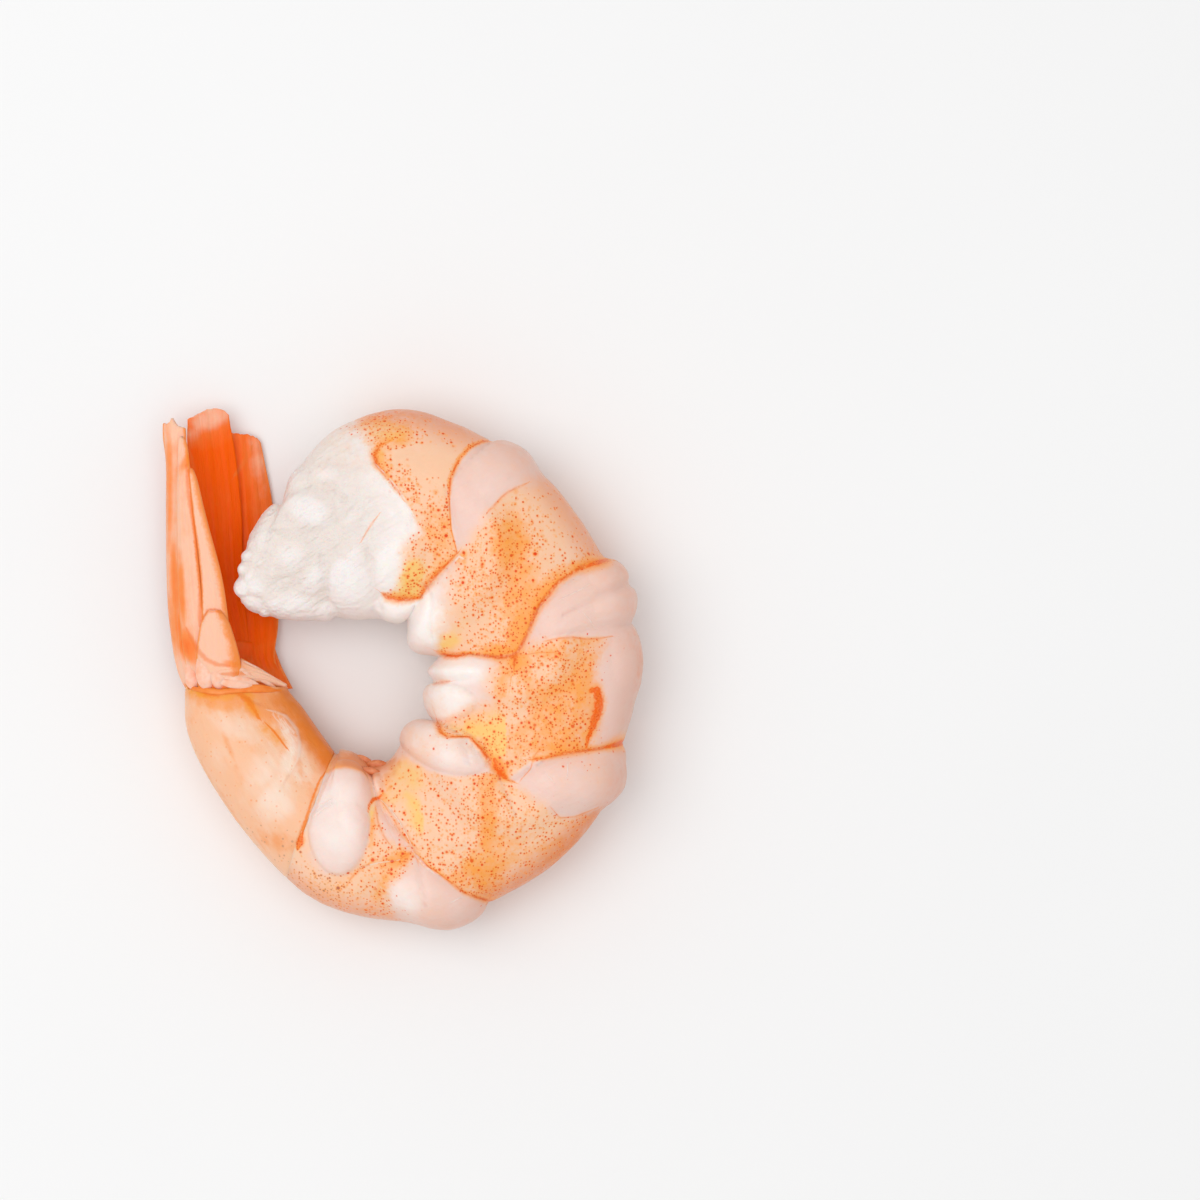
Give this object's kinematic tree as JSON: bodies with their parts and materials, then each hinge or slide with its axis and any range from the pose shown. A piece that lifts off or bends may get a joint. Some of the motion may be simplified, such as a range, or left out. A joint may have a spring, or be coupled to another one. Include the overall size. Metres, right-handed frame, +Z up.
{
  "type": "prawn meat",
  "caption": "Cooked prawn, peeled but for its last shell ring and tail fan, curled on its side, with white flesh that carries speckled orange bands.",
  "frame": {"origin": "on the surface that the prawn lies on, under the middle of its bounding box", "axes": "+Y along the tail fan from its root to its tip, +Z up through the flank that shows, +X from the tail fan across the curl to the back"},
  "size_m": [0.0476, 0.0523, 0.0154],
  "materials": {
    "flesh": "moist",
    "shell": "satin",
    "fan": "satin",
    "fan_inner": "satin"
  },
  "bodies": {
    "root": {"flesh": "flesh", "shell_ring": "shell", "telson": "fan", "upper_root": "fan", "upper_outer_blade": "fan", "upper_inner_blade": "fan", "collar_flap": "fan", "lower_root": "fan_inner", "lower_inner_blade": "fan_inner", "lower_outer_blade": "fan_inner"}
  },
  "joints": []
}
